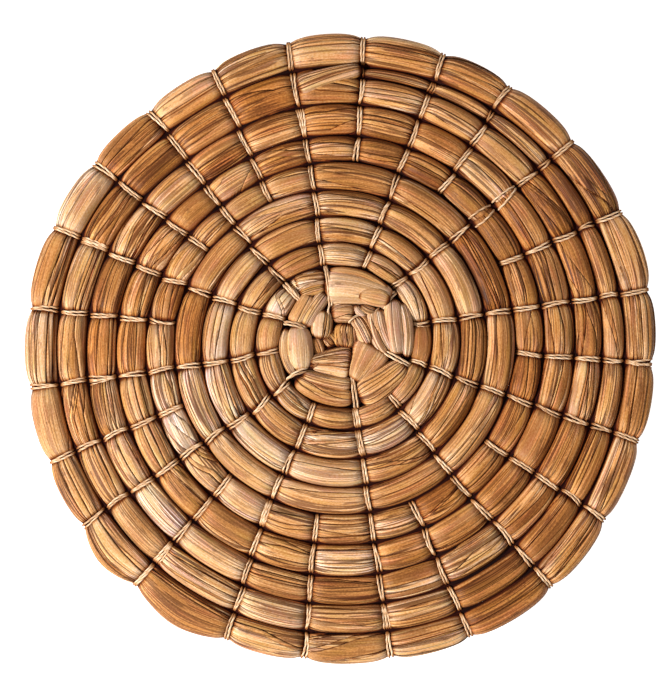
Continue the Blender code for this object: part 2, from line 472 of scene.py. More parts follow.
def strip_columns(first, last):
    """Columns across one leaf, from its crease at 0 up to the next crease, finer on the visible side."""
    middle, half = ((first.min() + last.max()) / 2) % 1.0, (last.max() - first.min()) / 2
    width = (last - first).mean() * RING_LENGTH
    is_visible = VISIBLE_SIDE[0] - half < middle < VISIBLE_SIDE[1] + half
    step = COLUMN_WIDTH if is_visible else UNDERSIDE_COLUMN_WIDTH
    count = int(np.clip(round(width / step), 2, MOST_COLUMNS))
    edge = min(CREASE_WIDTH / width, CREASE_LARGEST_SHARE)
    return np.concatenate([[0.0], np.linspace(edge, 1.0 - edge, count)])


def leaf_relief(shares, along_mm, length, tone, is_broad):
    """The columns round the ring, their relief and their looks, for one pillow."""
    count = shares.shape[1] - 1
    rows = len(along_mm)
    from_end = np.maximum(0.0, np.minimum(along_mm, length - along_mm))
    near_end = np.exp(-from_end / PUCKER_REACH)
    level = rng.normal(0.0, LEVEL_SPREAD, count)
    tilt = rng.normal(0.0, TILT_SPREAD, count)
    depth = rng.uniform(*CREASE_DEPTH, count)
    is_long = rng.random(count) < LONG_CREASE_CHANCE
    lasting = np.where(is_long, 1.0, rng.uniform(*SHORT_CREASE, count))
    fade = np.exp(-((from_end / CREASE_REACH) ** CREASE_FADE_POWER))
    tones = np.clip(tone + rng.normal(0.0, LEAF_TONE_SPREAD, count), 0.0, 1.0)
    is_calm = rng.random(count) < CALM_LEAF_CHANCE
    calms = np.where(is_calm, rng.uniform(*CALM_LEAF, count), rng.uniform(*LIVELY_LEAF, count))
    if is_broad:
        calms = calms * 0.1 + BROAD_LEAF_CALM
    strengths = [np.maximum(lasting[strip], fade) for strip in range(count)]
    columns, reliefs, creases, leaf_tones, across_map, leaf_calms = [], [], [], [], [], []
    for strip in range(count):
        first, last = shares[:, strip], shares[:, strip + 1]
        places = strip_columns(first, last)
        width = (last - first) * RING_LENGTH
        parted = np.zeros(rows)
        if rng.random() < PARTING_CHANCE:
            middle, reach = rng.uniform(*PARTING_PLACE), rng.uniform(*PARTING_LENGTH)
            parted = np.clip(1.0 - abs(along_mm / length - middle) / reach, 0.0, 1.0)
        arch = np.minimum(ARCH_SHARE * width, LARGEST_ARCH)
        folds = max(1, int(round(width.mean() / PUCKER_WIDTH)))
        fold_phase = rng.uniform(0, 2 * math.pi)
        for place in places:
            rise = arch * (1.0 - abs(2 * place - 1) ** 4.0)
            relief = level[strip] + rise + tilt[strip] * (place - 0.5)
            pucker = math.cos(2 * math.pi * folds * place + fold_phase)
            relief = relief + PUCKER_HEIGHT * near_end * (pucker - 0.3)
            if place == 0.0:
                relief = min(level[strip], level[strip - 1]) - depth[strip] * strengths[strip]
                relief = relief - NECK_CREASE_DEPTH * near_end
            near_parting = np.clip(PARTING_EDGE - place * width, 0.0, 1.0) * parted
            strength = strengths[strip] if place < 0.5 else strengths[(strip + 1) % count]
            from_crease = np.clip(min(place, 1.0 - place) * width / CREASE_EDGE, 0.0, 1.0)
            column = first + place * (last - first)
            columns.append(column)
            reliefs.append(relief - PARTING_DEPTH * near_parting)
            # The crease value is 1 away from a crease and lower in it, where the material paints crease
            # shade; it is 0 where leaves part.
            creases.append((1.0 - (1.0 - from_crease) * strength) * (1.0 - near_parting))
            leaf_tones.append(np.full(rows, tones[strip]))
            leaf_calms.append(np.full(rows, calms[strip]))
            across_map.append(column * RING_LENGTH + MAP_STRIP_ROOM * strip)
    parts = (columns, reliefs, creases, leaf_tones, across_map, leaf_calms)
    return [np.stack(part, axis=1) for part in parts] + [near_end]


class Cloth:
    """Grows one mesh out of many closed skins, with the values that its material reads."""

    def __init__(self):
        self.points, self.faces, self.maps = [], [], []
        # crease, tie and low lead to painted shade and painted highlights in the materials.
        self.values = {"tone": [], "calm": [], "crease": [], "tie": [], "low": [], "warmth": []}
        self.total = 0

    def add_skin(self, points, along, across, values, caps=True):
        """Points are rows x columns x 3, closed round their columns. Without caps the rows close too."""
        rows, columns = points.shape[:2]
        index = np.arange(rows * columns).reshape(rows, columns) + self.total
        after = np.roll(index, -1, axis=1)
        below = index[1:] if caps else np.roll(index, -1, axis=0)
        below_after = after[1:] if caps else np.roll(after, -1, axis=0)
        last = rows - 1 if caps else rows
        quads = np.stack([index[:last], below, below_after, after[:last]], axis=-1)
        self.faces.append(quads.reshape(-1, 4))
        self.points.append(points.reshape(-1, 3))
        self.maps.append(np.stack([along, across], axis=-1).reshape(-1, 2))
        for name, store in self.values.items():
            store.append(np.broadcast_to(values.get(name, 0.0), (rows, columns)).reshape(-1))
        if caps:
            self.close(points[0], index[0], values, along[0], across[0], forward=False)
            self.close(points[-1], index[-1], values, along[-1], across[-1], forward=True)
        self.total = sum(len(part) for part in self.points)

    def close(self, ring, index, values, along, across, forward):
        """A cap of triangles, kept as quads whose last two corners are the same point."""
        centre = sum(len(part) for part in self.points)
        self.points.append(ring.mean(axis=0)[None])
        self.maps.append(np.array([[along.mean(), across.mean()]]))
        # A cap takes each value's mean, but a crease value of 0, which gives it full painted crease shade.
        for name, store in self.values.items():
            store.append(np.array([0.0 if name == "crease" else np.mean(values.get(name, 0.0))]))
        after = np.roll(index, -1)
        middle = np.full(len(index), centre)
        pair = (index, after) if forward else (after, index)
        self.faces.append(np.stack([pair[0], pair[1], middle, middle], axis=-1))

    def finish(self, name, material):
        points = np.concatenate(self.points) * MM
        quads = np.concatenate(self.faces)
        is_triangle = quads[:, 2] == quads[:, 3]
        triangles = quads[is_triangle][:, :3]
        quads = quads[~is_triangle]
        corners = np.concatenate([quads.reshape(-1), triangles.reshape(-1)])
        sizes = np.concatenate([np.full(len(quads), 4), np.full(len(triangles), 3)])
        mesh = bpy.data.meshes.new(name)
        mesh.vertices.add(len(points))
        mesh.vertices.foreach_set("co", points.reshape(-1))
        mesh.loops.add(len(corners))
        mesh.loops.foreach_set("vertex_index", corners)
        mesh.polygons.add(len(sizes))
        mesh.polygons.foreach_set("loop_start", np.concatenate([[0], np.cumsum(sizes)[:-1]]))
        mesh.update(calc_edges=True)
        mesh.validate()
        leaf_map = mesh.uv_layers.new(name="leaf")
        flat = np.concatenate(self.maps)[corners] * MM
        leaf_map.data.foreach_set("uv", flat.reshape(-1))
        for value, parts in self.values.items():
            layer = mesh.attributes.new(value, "FLOAT", "POINT")
            layer.data.foreach_set("value", np.concatenate(parts).astype(np.float32))
        mesh.shade_smooth()
        mesh.materials.append(material)
        piece = bpy.data.objects.new(name, mesh)
        bpy.context.scene.collection.objects.link(piece)
        return piece


# Where the leaf is darker or more orange than elsewhere, as round patches of the mat. Their tone is partly
# painted light, paler at the lower left near the key lamp and darker on the right, and partly the leaf's
# own tone; their warmth is the leaf's own colour.
Patch = namedtuple("Patch", "x y radius tone warmth")
PATCHES = (
    Patch(-82.0, -57.0, 75.0, 0.09, -0.30),
    Patch(-82.0, -143.0, 45.0, 0.04, -0.15),
    Patch(-8.0, 6.0, 70.0, 0.07, -0.35),
    Patch(0.0, -175.0, 45.0, 0.06, 0.0),
    Patch(-115.0, 10.0, 32.0, -0.07, 0.50),
    Patch(118.0, -46.0, 60.0, -0.13, 0.35),
    Patch(98.0, 57.0, 38.0, -0.18, 0.15),
    Patch(155.0, 86.0, 35.0, -0.14, 0.20),
    Patch(65.0, -113.0, 38.0, -0.14, 0.30),
    Patch(0.0, 130.0, 50.0, -0.09, 0.30),
    Patch(-72.0, 125.0, 35.0, -0.07, 0.40),
    Patch(-125.0, 72.0, 35.0, -0.10, 0.35),
)


def patch_bias(x, y):
    tone, warmth = 0.0, 0.0
    for patch in PATCHES:
        near = math.exp(-((x - patch.x) ** 2 + (y - patch.y) ** 2) / patch.radius**2)
        tone += patch.tone * near
        warmth += patch.warmth * near
    return tone, warmth


# The way a bundle runs, its room on both sides for each row, and what it meets there
Path = namedtuple(
    "Path",
    "distances length centre side inner outer inner_pinch outer_pinch skirts outer_is_free is_rim bow",
)


def half_widths(half, pinch, slack, up, is_free):
    """Half width at each point: drawn in above, and filling its room where it meets the next turn."""
    drawn = 1.0 if is_free else smooth((up - PINCH_LOW) / (PINCH_HIGH - PINCH_LOW))
    return half[:, None] - (pinch * slack)[:, None] * drawn


def painted_groove_shade(height, up, least=0.0):
    """Painted groove shade: 1 deep in the grooves, 0 near the crowns and on the underside. Least is for
    leaf under others.
    """
    depth = 1.0 - np.clip((height - DARK_BELOW) / (LIGHT_ABOVE - DARK_BELOW), 0.0, 1.0)
    return np.maximum(least, depth) * np.clip(up / UNDERSIDE_EDGE, 0.0, 1.0)


def skin_bundle(cloth, path, swell, slack, top, bottom, fullness, count, looks_here):
    """One closed pillow of leaf strips along a path."""
    distances, length = path.distances, path.length
    tone, warmth, low, loose = looks_here
    width = path.outer - path.inner
    shares = strip_shares(np.clip(distances / length, 0, 1), count, path.bow)
    strips = leaf_relief(shares, distances, length, tone, count == 2)
    columns, relief, crease, tones, across_map, calm, near_end = strips
    across, up, out_across, out_up = on_ring(columns)
    skirt = np.clip(1.0 - np.abs(up - WIDEST_UP) / SKIRT_REACH, 0.0, 1.0)
    swelled = NECK_RELIEF + (1.0 - NECK_RELIEF) * np.clip(swell, 0, 1)
    relief = relief * fullness[:, None] * swelled[:, None] - RELIEF_SINK
    relief = relief * (1.0 - smooth(2.0 * skirt))
    inner_half = half_widths(width / 2, path.inner_pinch, slack, up, False)
    outer_half = half_widths(width / 2, path.outer_pinch, slack, up, path.outer_is_free)
    inner_half = inner_half + path.skirts[0] * skirt
    outer_half = outer_half + path.skirts[1] * skirt
    lean = rng.normal(0.0, LEAN_SPREAD)
    aside = np.where(across < 0, across * inner_half, across * outer_half)
    aside = aside + lean * np.maximum(up - 0.5, 0.0) * (swell * width)[:, None] / 2 + relief * out_across
    aside = aside + ((path.inner + path.outer) / 2)[:, None]
    height = bottom[:, None] + (top - bottom)[:, None] * up + relief * out_up
    # The height that painted groove shade is read from; necks count as higher, so less shade is painted on
    # them.
    shade_height = height + NECK_LIGHTENING * (CROWN_HEIGHT * fullness - top)[:, None] * smooth(2.0 * up - 0.9)
    flat = path.centre[:, None, :] + path.side[:, None, :] * aside[..., None]
    points = np.concatenate([flat, np.maximum(height, 0.0)[..., None]], axis=-1)
    along = np.broadcast_to(distances[:, None], columns.shape) + rng.uniform(0, MAP_ROOM)
    # The tie value leads to painted shade in the neck beside a stitch and a painted highlight on its
    # shoulder, both less beside a parted stitch.
    dip = near_end * (1.0 - PARTED_DIP_LOSS * loose)
    looks = {
        "tone": tones,
        "calm": calm,
        "crease": crease,
        "tie": np.broadcast_to(dip[:, None], columns.shape),
        # Painted groove shade, none on the rim's outer side.
        "low": np.where(path.is_rim & (across > 0), 0.0, painted_groove_shade(shade_height, up, low)),
        "warmth": warmth,
    }
    cloth.add_skin(points, along, across_map, looks)


def leaf_looks(x, y):
    """Tone and warmth of a pillow at this place."""
    # The patches' tone is partly painted light.
    bias, warmer = patch_bias(x, y)
    tone = np.clip(rng.normal(PILLOW_TONE, PILLOW_TONE_SPREAD) + bias, *PILLOW_TONE_LIMITS)
    warmth = np.clip(rng.normal(PILLOW_WARMTH, PILLOW_WARMTH_SPREAD) + warmer, 0.0, 1.0)
    return float(tone), float(warmth)


def strip_count(width):
    perimeter = RING_LENGTH * width / (2 * NOMINAL_HALF_WIDTH)
    share = rng.uniform(*STRIP_COUNT_SHARE)
    if rng.random() < BROAD_LEAF_CHANCE:
        share = BROAD_LEAF_SHARE
    return max(LEAST_STRIPS, int(round(perimeter / STRIP_WIDTH * share)))


def parting_at(turn):
    """The parted stitch at this turn, if there is one."""
    for parting in PARTED_STITCHES:
        if abs(parting.turn - turn) < PARTED_WITHIN:
            return parting
    return None


def slackness(start, end, distances, length):
    """1 beside a parted stitch, which hardly draws the bundle in, and 0 elsewhere."""
    slackness_here = np.zeros(len(distances))
    for turn, away in ((start, distances), (end, length - distances)):
        if parting_at(turn):
            slackness_here = np.maximum(slackness_here, np.exp(-((away / PARTED_REACH) ** 2)))
    return slackness_here


def add_pillow(cloth, start, end, edges, outer_pinch, bed=False):
    """One pillow of the bundle between two stitches, given in turns. A bed pillow lies low under others."""
    middle_turn = (start + end) / 2
    inner, outer = (float(edge) for edge in edges(np.array(middle_turn)))
    length = (end - start) * math.tau * (inner + outer) / 2
    distances = end_distances(length)
    turns = start + (end - start) * distances / length
    side = rays(angle_at(turns))
    middle = EYE + rays(angle_at(middle_turn)) * (inner + outer) / 2
    inner, outer = edges(turns)
    width = outer - inner
    most = width * LARGEST_PINCH_SHARE
    touching, beside_rim = GAP / 2 - SKIRT_GAP, GAP / 2 - RIM_SKIRT_GAP
    skirts = (touching, beside_rim if start < 1.0 else touching)
    is_rim = outer_pinch > SIDE_PINCH
    if is_rim:
        skirts = (beside_rim, 0.0)
    path = Path(
        distances=distances,
        length=length,
        centre=np.broadcast_to(EYE, side.shape),
        side=side,
        inner=inner,
        outer=outer,
        inner_pinch=np.minimum(SIDE_PINCH, most),
        outer_pinch=np.minimum(outer_pinch, most),
        skirts=skirts,
        outer_is_free=is_rim,
        is_rim=is_rim,
        bow=STRAIGHTENING * (length**2 / (8 * math.hypot(*(middle - EYE)))) / RING_LENGTH,
    )
    loose = slackness(start, end, distances, length)
    swell = np.maximum(neck(distances, length, NECK_SHOULDER), PARTED_SWELL * loose)
    crown = CROWN_HEIGHT - CROWN_SPREAD * rng.random()
    fullness = np.minimum(1.0, np.sqrt(width / FULL_BUNDLE_WIDTH))
    top = crown * fullness * (NECK_HEIGHT_SHARE + (1.0 - NECK_HEIGHT_SHARE) * swell)
    bottom = NECK_LIFT * np.clip(1.0 - swell, 0, 1) ** 2 * fullness
    tone, warmth = leaf_looks(*middle)
    # A bed pillow lies low under the lumps and is painted dark as shade.
    low = 0.0
    if bed:
        top = top * BED_HEIGHT_SHARE
        low = BED_PAINTED_SHADE
    slack = np.clip(1.0 - neck(distances, length, SIDE_SHOULDER), 0.0, 1.0)
    count = strip_count(width.mean())
    skin_bundle(cloth, path, swell, slack, top, bottom, fullness, count, (tone, warmth, low, loose))


def curve_between(first, last, bow, shares):
    """Points and left-hand normals along a bowed line between two points of the mat."""
    first, last = np.array(first), np.array(last)
    chord = last - first
    normal = np.array([-chord[1], chord[0]]) / float(np.hypot(*chord))
    points = first + shares[:, None] * chord + normal * (bow * 4 * shares * (1 - shares))[:, None]
    slope = chord + normal * (bow * 4 * (1 - 2 * shares))[:, None]
    slope /= np.linalg.norm(slope, axis=1, keepdims=True)
    return points, np.stack([-slope[:, 1], slope[:, 0]], axis=1)


def add_lump(cloth, lump):
    """A pillow of the middle, with rounded ends."""
    length = math.hypot(lump.x2 - lump.x1, lump.y2 - lump.y1)
    rows = max(LEAST_LUMP_ROWS, int(length / LUMP_ROW))
    shares = (1.0 - np.cos(np.linspace(0.0, math.pi, rows))) / 2
    points, normals = curve_between((lump.x1, lump.y1), (lump.x2, lump.y2), lump.bow, shares)
    round_end = np.clip(1.0 - np.abs(2 * shares - 1) ** lump.bluntness, 0.0, 1.0) ** 0.5
    width = lump.width * (1.0 + lump.taper * (2 * shares - 1)) * np.clip(round_end, LUMP_END_WIDTH, 1.0)
    none = np.zeros(rows)
    path = Path(
        distances=shares * length,
        length=length,
        centre=points + EYE,
        side=normals,
        inner=-width / 2,
        outer=width / 2,
        inner_pinch=none,
        outer_pinch=none,
        skirts=(0.0, 0.0),
        outer_is_free=True,
        is_rim=False,
        bow=0.0,
    )
    base = lump.bottom - LUMP_BOTTOM
    top = base + (lump.height - base) * (LUMP_END_HEIGHT + (1.0 - LUMP_END_HEIGHT) * round_end)
    bottom = lump.bottom + (LUMP_END_LIFT if base == 0.0 else 0.0) * (1.0 - round_end)
    tone = LUMP_TONE + lump.tone + rng.normal(0.0, LUMP_TONE_SPREAD)
    warmth = LUMP_WARMTH + rng.uniform(0.0, LUMP_WARMTH_SPREAD)
    fullness = np.clip(width / LUMP_FULL_WIDTH, LUMP_LEAST_FULLNESS, 1.0)
    count = 2 if lump.strips == 1 else int(lump.strips * STRIPS_PER_SHOWN)
    skin_bundle(cloth, path, round_end, none, top, bottom, fullness, count, (tone, warmth, 0.0, none))


# The pillows in the middle, from the eye: both ends, how far the line between them bows to its left, and
# sizes. Taper widens the second end. Bluntness is high where the ends are square. Strips are the leaves
# that show on top. The bottom is higher where a lump lies on others.
LUMP_COLUMNS = "x1 y1 x2 y2 bow width taper height bluntness strips tone bottom"
Lump = namedtuple("Lump", LUMP_COLUMNS, defaults=(LUMP_BOTTOM,))
LUMPS = (
    Lump(-8.4, 26.2, 32.6, 18.6, 2.4, 18.2, -0.26, 11.8, 9.0, 1, 0.17),
    Lump(-7.0, 35.8, 33.4, 21.2, 5.8, 5.6, -0.12, 10.8, 6.0, 1, 0.07),
    Lump(11.4, 21.6, 31.2, 17.8, 0.8, 10.4, 0.16, 13.1, 2.1, 1, -0.06, 10.1),
    Lump(9.6, 16.8, 18.6, 8.0, -1.4, 6.0, 0.0, 10.2, 3.0, 2, 0.06),
    Lump(13.0, 16.8, 24.4, 12.0, -1.8, 6.4, 0.0, 10.6, 3.0, 2, -0.08),
    Lump(-4.6, 10.6, 10.6, 9.6, 0.8, 12.6, 0.0, 10.8, 4.2, 5, -0.04),
    Lump(10.0, 9.6, 19.6, -8.8, 0.6, 13.6, 0.0, 11.0, 4.2, 7, 0.0),
    Lump(22.6, 14.2, 31.6, -13.4, -2.4, 14.4, 0.0, 11.4, 4.6, 4, 0.05),
    Lump(32.6, 20.0, 36.2, -15.2, -0.4, 12.4, 0.0, 11.8, 4.4, 4, 0.05),
    Lump(38.0, 18.4, 41.0, -17.0, 2.2, 7.8, 0.0, 10.8, 4.0, 3, -0.02),
    Lump(9.4, -30.6, 22.4, -8.2, 0.0, 19.0, 0.44, 11.0, 6.5, 2, 0.02),
    Lump(40.4, -19.2, 11.6, -39.2, 1.6, 17.4, 0.20, 11.6, 5.5, 3, 0.0),
    Lump(-17.6, -19.8, 8.4, -20.0, 0.8, 16.8, 0.48, 11.2, 7.0, 6, 0.0),
    Lump(-21.8, -25.4, 9.2, -32.0, -0.9, 8.4, 0.10, 11.8, 6.5, 2, 0.06),
    Lump(-25.2, -28.4, 9.8, -39.4, -3.6, 12.6, 0.06, 11.0, 6.5, 3, -0.02),
    Lump(-24.2, 4.0, -22.0, -24.6, 0.0, 16.4, 0.0, 11.8, 2.8, 1, 0.16),
    Lump(-30.2, 2.8, -25.4, -27.2, -3.9, 7.2, 0.0, 9.8, 4.0, 2, 0.02),
    Lump(-9.0, 13.4, -10.6, -5.6, 0.2, 13.6, 0.0, 11.2, 3.6, 6, 0.0),
    Lump(5.8, 5.2, 3.8, -10.8, 0.0, 14.4, 0.0, 11.2, 4.2, 7, -0.08),
    Lump(-3.6, 2.0, 0.6, -3.4, 0.0, 6.0, 0.0, 6.6, 3.0, 3, -0.24),
    Lump(-7.0, -1.2, -1.6, -9.0, 0.0, 9.0, 0.0, 8.8, 2.8, 5, -0.10),
    Lump(-15.0, -2.8, -10.4, -15.4, 0.4, 8.6, 0.0, 8.0, 2.8, 4, -0.22),
    Lump(-10.8, -14.0, -17.4, -23.0, 1.8, 3.6, 0.0, 11.4, 3.0, 1, 0.16),
    Lump(-16.4, 23.2, -27.0, 3.4, -0.4, 9.8, 0.08, 11.0, 5.5, 2, -0.02),
    Lump(-6.6, 23.2, -20.4, 2.4, -0.8, 10.0, 0.05, 11.6, 5.5, 2, 0.03),
    Lump(-23.6, 21.4, -7.0, 26.6, 0.6, 7.4, 0.0, 10.4, 5.0, 4, -0.12),
    Lump(-26.4, 27.6, -6.6, 31.4, 0.8, 10.2, 0.0, 10.8, 6.5, 4, -0.02),
)

# The tail's bundle lies over the end of the turn beside it.
TAIL_LUMP = Lump(-24.8, 145.8, 14.6, 157.0, 1.2, 11.4, -0.24, 12.6, 9.0, 4, 0.0)

# The stitches in the middle, from the eye: both ends, how high they lie and how many strands they have
CoreStitch = namedtuple("CoreStitch", "x1 y1 x2 y2 height strands")
CORE_STITCHES = (
    CoreStitch(-7.6, 38.4, -4.2, 15.4, 10.0, 2),
    CoreStitch(34.4, 22.8, 27.0, 13.8, 8.6, 2),
    CoreStitch(26.6, -11.0, 42.6, -20.8, 8.8, 2),
    CoreStitch(8.0, -25.4, 11.2, -45.6, 8.8, 2),
    CoreStitch(-18.0, -22.6, -30.2, -29.4, 8.8, 2),
    CoreStitch(-32.0, 4.8, -19.6, 1.4, 9.4, 2),
    CoreStitch(-31.8, 28.0, -22.4, 18.0, 9.2, 2),
    CoreStitch(-4.6, 16.4, -4.2, 5.6, 8.2, 1),
    CoreStitch(6.6, 4.4, 13.4, 9.4, 9.0, 1),
    CoreStitch(19.6, 9.4, 24.0, 13.6, 8.8, 1),
)


# A stitch: its middle, the way it runs, half its reach, and how high it lies above and below
Tie = namedtuple("Tie", "middle way half top bottom thickness")


def add_strand(cloth, tie, drift, skew, bow, opening):
    """One strand of a stitch: a ring of twisted twine. Opening spreads the strands at one end."""
    over = np.linspace(TOP_START, TOP_END, TOP_STEPS, endpoint=False)
    under = np.linspace(TOP_END, 1.0 + TOP_START, UNDER_STEPS, endpoint=False)
    places = np.concatenate([over, under])
    across, up, out_across, out_up = on_ring(places)
    reach = tie.half * across + STRAND_RADIUS * STRAND_SEAT * out_across
    height = tie.bottom + (tie.top - tie.bottom) * up + STRAND_RADIUS * STRAND_SEAT * out_up
    height = np.maximum(height, STRAND_RADIUS)
    wander = rng.normal(0.0, STRAND_WANDER, 2)
    bowed = (bow + 0.3 * wander[0]) * (1.0 - across**2) * np.sign(up - 0.3)
    drift = drift * (1.05 - 0.25 * across**2 + opening * across) + bowed
    drift = drift + skew * tie.half * across + wander[0] * np.sin(places * 9.0 + wander[1] * 20)
    forward = np.array([tie.way[1], -tie.way[0]])
    flat = tie.middle + tie.way * reach[:, None] + forward * drift[:, None]
    centre = np.concatenate([flat, height[:, None]], axis=1)
    step = np.roll(centre, -1, axis=0) - np.roll(centre, 1, axis=0)
    tangent = step / np.linalg.norm(step, axis=1, keepdims=True)
    side_way = np.broadcast_to(np.array([forward[0], forward[1], 0.0]), centre.shape)
    lift = np.cross(tangent, side_way)
    lift /= np.linalg.norm(lift, axis=1, keepdims=True)
    side_way = np.cross(lift, tangent)
    lengths = np.linalg.norm(np.roll(centre, -1, axis=0) - centre, axis=1)
    run = np.concatenate([[0.0], np.cumsum(lengths)[:-1]])
    whole_twists = max(1, round(lengths.sum() / PLY_LENGTH))
    twist = run / lengths.sum() * whole_twists * math.tau
    around = np.arange(STRAND_SIDES) / STRAND_SIDES * math.tau
    plies = np.abs(np.cos(around[None, :] - twist[:, None]))
    size = STRAND_RADIUS * rng.uniform(*STRAND_SIZE) * tie.thickness
    thickness = size * (1.0 - PLY_GROOVE + PLY_GROOVE * plies**1.2)
    aside = np.cos(around)[None, :, None] * side_way[:, None, :]
    offset = aside + np.sin(around)[None, :, None] * lift[:, None, :]
    points = centre[:, None, :] + offset * thickness[..., None]
    points[..., 2] = np.maximum(points[..., 2], 0.0)
    along = np.broadcast_to(run[:, None], plies.shape) + rng.uniform(0, STRAND_MAP_ROOM)
    across_map = np.broadcast_to((around / math.tau * STRAND_MAP_WIDTH)[None, :], plies.shape)
    # Painted groove shade on the twine, read a little higher than it lies; the ply mask below paints shade
    # between the plies.
    low = np.broadcast_to(painted_groove_shade(height + TWINE_SHOWS, up)[:, None], plies.shape)
    tone = float(np.clip(rng.normal(STRAND_TONE, STRAND_TONE_SPREAD), 0, 1))
    cloth.add_skin(points, along, across_map, {"tone": tone, "crease": plies, "low": low}, caps=False)


def add_stitch(cloth, tie, strands, parting=None):
    """Strands side by side. More than two cross over in two pairs."""
    skew, bow = rng.normal(0.0, STITCH_SKEW), rng.normal(0.0, STITCH_BOW)
    opening = rng.uniform(-STITCH_OPENING, STITCH_OPENING)
    spread = STRAND_SPREAD
    if parting:
        spread, opening, bow = parting.spread, parting.opening, 0.0
        tie = tie._replace(top=tie.top + parting.lift)
    sides = (-1.0, 1.0) if strands > 1 else (0.0,)
    for pair in range((strands + 1) // 2):
        crossing = 0.0 if strands <= 2 else (-1.0, 1.0)[pair % 2]
        for side in sides:
            drift = crossing * CROSSING_SHIFT + side * spread + rng.normal(0, STRAND_JITTER)
            add_strand(cloth, tie, drift, skew + crossing * CROSSING_SKEW, bow, opening)


def neck_tie(turn, edges, outer_pinch):
    """The stitch round the bundle at this turn."""
    inner, outer = (float(edge) for edge in edges(np.array(turn)))
    width = outer - inner
    most = width * LARGEST_PINCH_SHARE
    inner += min(SIDE_PINCH, most)
    outer -= min(outer_pinch, most)
    fullness = min(1.0, math.sqrt(width / FULL_BUNDLE_WIDTH))
    ray = rays(angle_at(turn))
    middle = EYE + ray * (inner + outer) / 2
    top = CROWN_HEIGHT * fullness * NECK_HEIGHT_SHARE
    return Tie(middle, ray, (outer - inner) / 2, top, NECK_LIFT * fullness, fullness**0.5)


# Noise drawn out along the leaf: cells in a metre along it and across it, detail and roughness
Streaks = namedtuple("Streaks", "along across detail rough", defaults=(0.6,))
BROAD_BANDS = Streaks(7.0, 230.0, 2.0)
VEINS = Streaks(7.0, 800.0, 3.0, 0.65)
HIGHLIGHT_STREAKS = Streaks(12.0, 950.0, 2.0)
FINE_RIBS = Streaks(40.0, 2200.0, 2.0)
HUES = Streaks(30.0, 160.0, 2.0)
STAINS = Streaks(90.0, 240.0, 4.0, 0.7)
GRAIN = Streaks(700.0, 1500.0, 1.0)
CRACKS = Streaks(6.0, 300.0, 1.0)
HAIRS = Streaks(9.0, 560.0, 1.0)
CRACK_ENDS = Streaks(12.0, 430.0, 1.0)
TWINE_FIBRES = Streaks(260.0, 1500.0, 3.0, 0.7)

# Colours by tone, and tints that multiply them. The highlight tint paints highlights, and the reddening
# powers turn painted shade red-brown.
LEAF_COLOURS = (
    (0.0, (0.205, 0.072, 0.018)),
    (0.28, (0.430, 0.180, 0.050)),
    (0.52, (0.595, 0.312, 0.127)),
    (0.78, (0.695, 0.460, 0.285)),
    (1.0, (0.770, 0.605, 0.480)),
)
TWINE_COLOURS = (
    (0.15, (0.34, 0.18, 0.090)),
    (0.5, (0.74, 0.50, 0.310)),
    (0.9, (0.96, 0.78, 0.58)),
)
STAIN_COLOUR = (0.10, 0.038, 0.012)
ORANGE = (1.0, 0.76, 0.46)
OLIVE = (0.90, 0.94, 0.76)
PINK = (1.06, 0.93, 1.06)
HIGHLIGHT_TINT = (1.28, 1.42, 1.64)
DARK_LINE = (0.13, 0.06, 0.03)
REDDENING_POWERS = (0.74, 1.20, 1.80)


